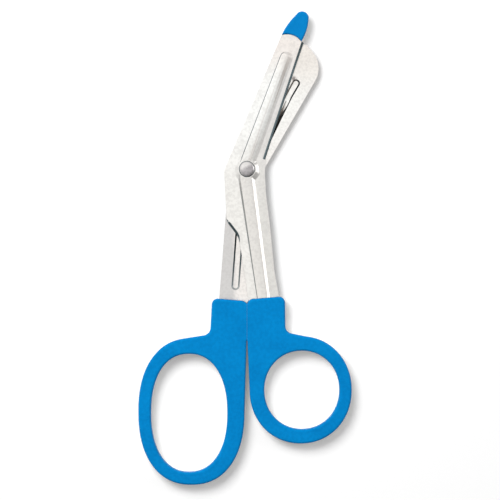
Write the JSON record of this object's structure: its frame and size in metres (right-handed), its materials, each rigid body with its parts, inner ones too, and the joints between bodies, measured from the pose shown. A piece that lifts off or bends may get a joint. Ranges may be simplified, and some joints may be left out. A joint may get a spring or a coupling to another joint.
{
  "type": "utility scissors",
  "caption": "Angled utility shears: two stamped steel leaves on a rivet, round thumb ring, long finger ring and a blunt tip guard.",
  "frame": {"origin": "on the pivot's axis, in the plane that the scissors lie on: the centre of the rivet's flat rear head", "axes": "+Z along the pivot's axis, out of the rivet's domed front head; +Y from the handles to the blades, along the line where the closed handles meet; +X to the thumb ring"},
  "size_m": [0.0843, 0.1872, 0.0068],
  "materials": {
    "leaf_steel": "satin, fine grain along the leaf",
    "rivet_steel": "tumbled, darker than the leaves",
    "handle_plastic": "moulded, smooth, semi-matt blue",
    "guard_plastic": "moulded, smooth, semi-matt blue"
  },
  "bodies": {
    "back_half": {"back_leaf": "leaf_steel", "pivot_rivet": "rivet_steel", "finger_handle": "handle_plastic"},
    "front_half": {"front_leaf": "leaf_steel", "thumb_handle": "handle_plastic", "tip_guard": "guard_plastic"}
  },
  "joints": [
    {"name": "pivot", "type": "hinge", "parent": "back_half", "child": "front_half", "pos_m": [0, 0, 0.0032], "axis": [0, 0, 1], "range_deg": [0, 70]}
  ]
}
